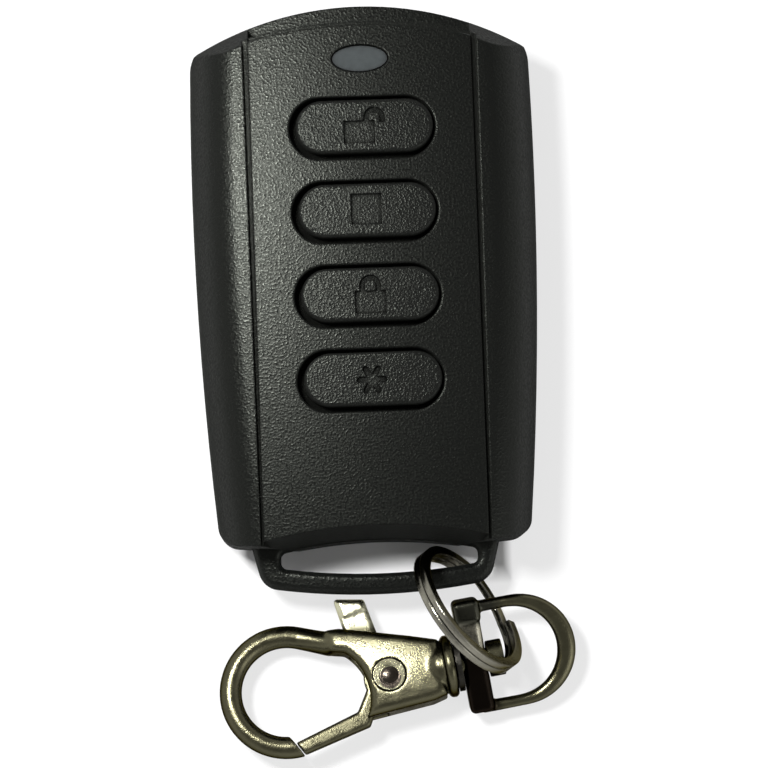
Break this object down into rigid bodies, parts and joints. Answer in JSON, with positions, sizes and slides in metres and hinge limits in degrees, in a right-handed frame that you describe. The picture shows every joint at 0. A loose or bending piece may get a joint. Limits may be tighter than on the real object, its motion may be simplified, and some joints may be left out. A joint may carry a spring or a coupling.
{
  "type": "gate remote control",
  "caption": "Pocket radio transmitter for gates: shield-shaped plastic case, pill push-buttons, indicator window, key loop, split ring and swivel snap clasp.",
  "frame": {"origin": "centre of the flat back face of the case", "axes": "+Z out of the button face, +Y along the case from the key loop to the indicator window, +X to the right seen from the front"},
  "size_m": [0.0413, 0.0838, 0.0152],
  "materials": {
    "shell": "fine matt texture",
    "cap": "dark grey with a fine metallic fleck",
    "plunger": "plain",
    "switch": "plain",
    "lens": "milky translucent",
    "led": "clear tinted",
    "board": "solder mask",
    "cell": "satin",
    "contact": "bright",
    "chip": "plain",
    "can": "satin",
    "trimmer": "plain",
    "copper": "bare wire",
    "screw": "zinc plated",
    "ring_wire": "nickel plated, lightly worn",
    "cast_metal": "antique nickel plating",
    "washer": "dark",
    "gate_metal": "antique nickel plating",
    "rivet": "antique nickel plating",
    "spring": "bright"
  },
  "bodies": {
    "fob": {"back_shell": "shell", "front_shell": "shell", "circuit_board": "board", "coin_cell": "cell", "battery_clip": "contact", "battery_contact": "contact", "encoder_chip": "chip", "resonator_can": "can", "quartz_crystal": "can", "trimmer": "trimmer", "chip_parts": "chip", "wire_antenna": "copper", "status_led": "led", "light_pipe": "lens", "case_screws": "screw", "switch_open": "switch", "switch_stop": "switch", "switch_close": "switch", "switch_aux": "switch"},
    "push_open": {"button_open": "cap", "plunger_open": "plunger"},
    "push_stop": {"button_stop": "cap", "plunger_stop": "plunger"},
    "push_close": {"button_close": "cap", "plunger_close": "plunger"},
    "push_aux": {"button_aux": "cap", "plunger_aux": "plunger"},
    "key_ring": {"split_ring": "ring_wire"},
    "eye": {"swivel_eye": "cast_metal"},
    "clasp": {"clasp_body": "cast_metal", "swivel_washer": "washer", "gate_rivet": "rivet", "gate_spring": "spring"},
    "gate": {"clasp_gate": "gate_metal"}
  },
  "joints": [
    {"name": "press_open", "type": "slide", "parent": "fob", "child": "push_open", "axis": [0, 0, -1], "range_m": [0, 0.00045], "stiffness_N_per_m": 1500},
    {"name": "press_stop", "type": "slide", "parent": "fob", "child": "push_stop", "axis": [0, 0, -1], "range_m": [0, 0.00045], "stiffness_N_per_m": 1500},
    {"name": "press_close", "type": "slide", "parent": "fob", "child": "push_close", "axis": [0, 0, -1], "range_m": [0, 0.00045], "stiffness_N_per_m": 1500},
    {"name": "press_aux", "type": "slide", "parent": "fob", "child": "push_aux", "axis": [0, 0, -1], "range_m": [0, 0.00045], "stiffness_N_per_m": 1500},
    {"name": "ring_swing", "type": "hinge", "parent": "fob", "child": "key_ring", "pos_m": [0, -0.03425, 0.00495], "axis": [1, 0, 0], "range_deg": [-20, 30]},
    {"name": "eye_swing", "type": "hinge", "parent": "key_ring", "child": "eye", "pos_m": [0.01498, -0.04155, 0.00381], "axis": [-0.0428, 0.6591, -0.7508], "range_deg": [-40, 2]},
    {"name": "swivel_spin", "type": "hinge", "parent": "eye", "child": "clasp", "pos_m": [0.00105, -0.04472, 0.0036], "axis": [0.9884, 0.1518, 0], "continuous": true},
    {"name": "gate_turn", "type": "hinge", "parent": "clasp", "child": "gate", "pos_m": [0.00105, -0.04472, 0.0036], "axis": [0.0237, -0.1546, -0.9877], "range_deg": [0, 27], "stiffness_Nm_per_rad": 0.08, "springref_deg": -17.19}
  ]
}
